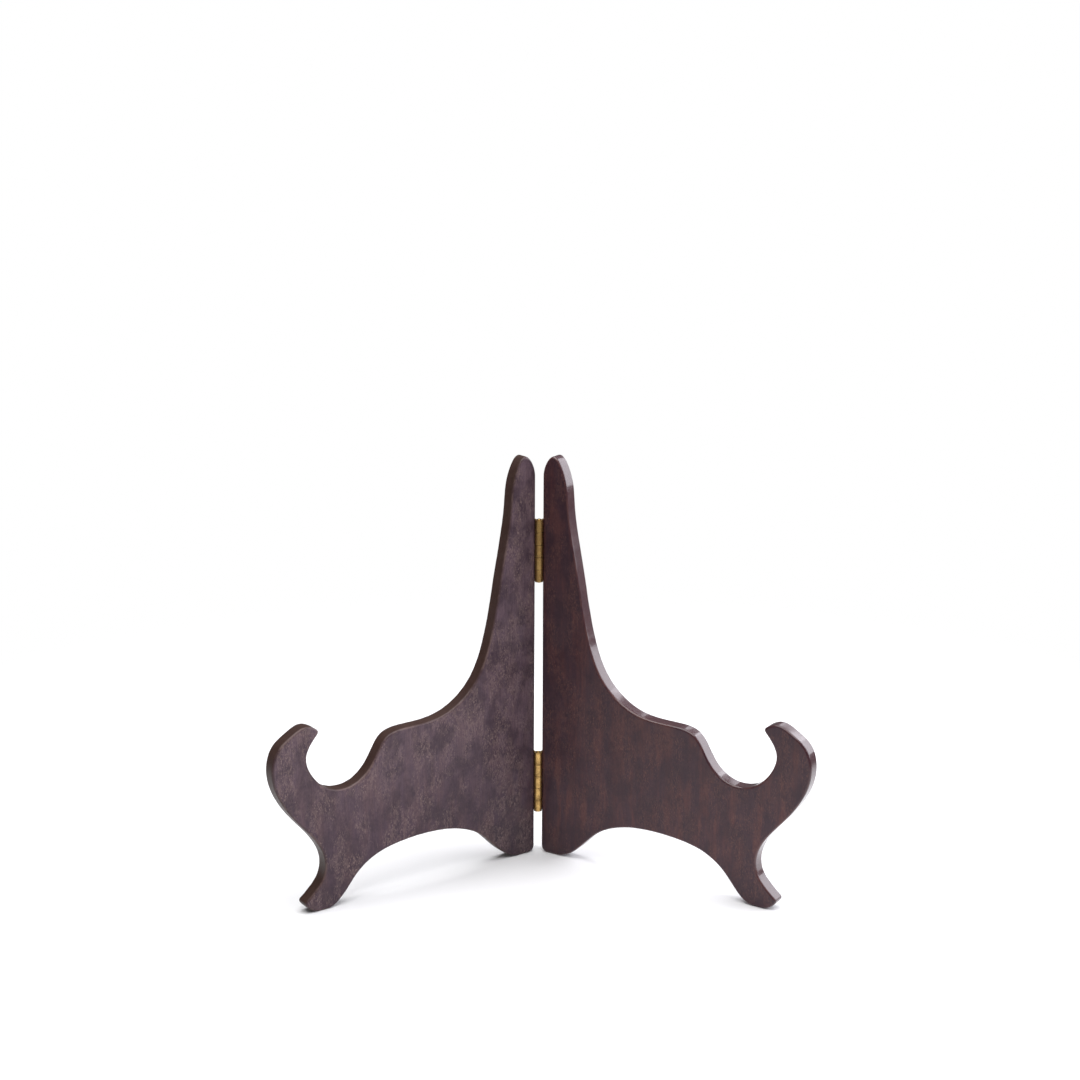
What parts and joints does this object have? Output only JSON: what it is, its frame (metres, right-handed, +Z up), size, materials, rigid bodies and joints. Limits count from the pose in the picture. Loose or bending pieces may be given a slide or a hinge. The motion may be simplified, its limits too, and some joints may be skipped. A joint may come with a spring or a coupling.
{
  "type": "folding plate display stand",
  "caption": "Folding wooden stand in a V plan: hinged side panels with hooked rim slots, curved feet, an arch and tapering uprights, to hold a plate upright for display.",
  "frame": {"origin": "centre of the footprint, on the surface that the stand is put on, with the stand open at 112 degrees", "axes": "+X to the right as seen from the front, +Y to the back where the hinges are, +Z up"},
  "size_m": [0.3098, 0.107, 0.25],
  "materials": {
    "stained_wood": "dark brown stained hardwood with a satin lacquer",
    "hinge_brass": "lacquered brass, lightly tarnished",
    "pin_brass": "drawn brass wire with domed ends",
    "screw_brass": "turned brass, slotted heads"
  },
  "bodies": {
    "left_side": {"left_panel": "stained_wood", "upper_left_leaf": "hinge_brass", "upper_hinge_pin": "pin_brass", "upper_left_screws": "screw_brass", "lower_left_leaf": "hinge_brass", "lower_hinge_pin": "pin_brass", "lower_left_screws": "screw_brass"},
    "right_side": {"right_panel": "stained_wood", "upper_right_leaf": "hinge_brass", "upper_right_screws": "screw_brass", "lower_right_leaf": "hinge_brass", "lower_right_screws": "screw_brass"}
  },
  "joints": [
    {"name": "fold", "type": "hinge", "parent": "left_side", "child": "right_side", "pos_m": [0, 0.04574, 0], "axis": [0, 0, 1], "range_deg": [-112, 66]}
  ]
}
